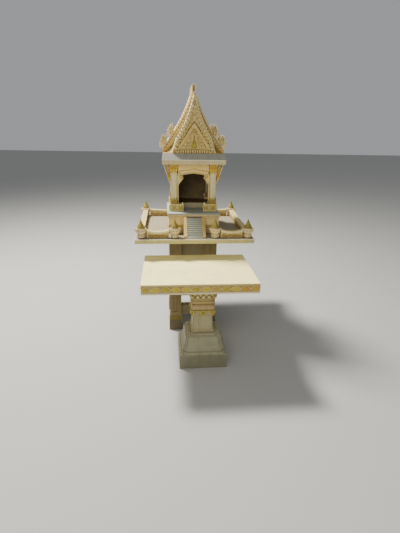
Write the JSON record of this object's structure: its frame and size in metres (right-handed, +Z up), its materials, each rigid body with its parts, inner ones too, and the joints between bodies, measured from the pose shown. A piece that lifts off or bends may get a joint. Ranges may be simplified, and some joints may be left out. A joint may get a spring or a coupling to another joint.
{
  "type": "spirit house",
  "caption": "Thai spirit house of painted cast cement: a gabled shrine with stair on a railed platform and legged stand, with an offering table on a pillar in front.",
  "frame": {"origin": "on the ground, at the middle of the bottom of the whole set's bounding box", "axes": "+X to the right seen from the front, +Y towards the back of the house, +Z up; the offering table is at -Y"},
  "size_m": [0.88, 1.39, 1.915],
  "materials": {
    "cream_paint": "weathered cream paint on cast cement",
    "gold_paint": "gold and olive paint on cast cement",
    "grey_wash": "worn pale grey paint on cast cement",
    "dark_inside": "dark brown painted room"
  },
  "bodies": {
    "root": {"back_pedestals": "gold_paint", "back_porch_roof": "cream_paint", "back_wall": "cream_paint", "column_capitals": "gold_paint", "columns_back": "cream_paint", "columns_front": "cream_paint", "eave_slab": "grey_wash", "eave_struts": "gold_paint", "front_porch_roof": "cream_paint", "front_wall": "cream_paint", "gable_flames": "cream_paint", "house_plinth": "cream_paint", "inner_floor": "dark_inside", "left_wall": "cream_paint", "lotus_bases": "gold_paint", "main_bargeboard_back": "cream_paint", "main_bargeboard_front": "cream_paint", "main_roof": "cream_paint", "parapet_back": "cream_paint", "parapet_front": "cream_paint", "parapet_left": "cream_paint", "parapet_posts": "cream_paint", "parapet_right": "cream_paint", "platform_slab": "cream_paint", "plinth_ledge": "grey_wash", "porch_bargeboard_back": "cream_paint", "porch_bargeboard_front": "cream_paint", "porch_rails": "gold_paint", "post_caps": "gold_paint", "ridge_crest": "cream_paint", "ridge_finials": "cream_paint", "right_wall": "cream_paint", "roof_skirt": "grey_wash", "stair_flight": "grey_wash", "stair_stringers": "cream_paint", "stand_apron": "cream_paint", "stand_legs": "cream_paint", "stand_stretchers": "cream_paint", "table_pillar_base": "cream_paint", "table_pillar_capital": "cream_paint", "table_pillar_neck": "cream_paint", "table_pillar_shaft": "cream_paint", "table_top": "cream_paint", "tympanum_back": "cream_paint", "tympanum_front": "cream_paint"}
  },
  "joints": []
}
